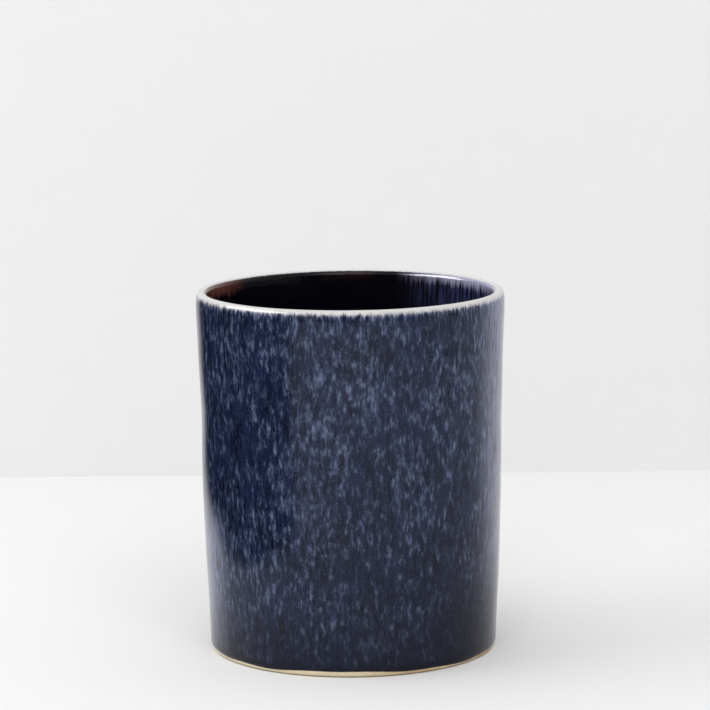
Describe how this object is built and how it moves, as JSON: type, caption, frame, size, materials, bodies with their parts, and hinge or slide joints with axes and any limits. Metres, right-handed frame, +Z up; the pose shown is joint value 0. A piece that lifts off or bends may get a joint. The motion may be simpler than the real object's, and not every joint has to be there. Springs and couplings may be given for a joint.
{
  "type": "utensil crock",
  "caption": "Round stoneware crock for kitchen tools, blue reactive glaze outside, pale lip, dark glazed inside and a bare clay foot ring.",
  "frame": {"origin": "centre of the foot ring, on the surface the crock stands on", "axes": "+Z runs up the axis the pot was thrown round, out of its open mouth; the pot is round, so +X and +Y are any two directions square to it"},
  "size_m": [0.1516, 0.1516, 0.178],
  "materials": {
    "fired_clay": "matte, bare, slightly rough",
    "blue_glaze": "glossy, streaked navy to pale blue",
    "pale_glaze": "glossy, off-white, thin over the edge",
    "dark_glaze": "glossy, near-black navy"
  },
  "bodies": {
    "root": {"stoneware_body": "fired_clay", "outer_glaze": "blue_glaze", "rim_glaze": "pale_glaze", "liner_glaze": "dark_glaze", "underside_glaze": "dark_glaze"}
  },
  "joints": []
}
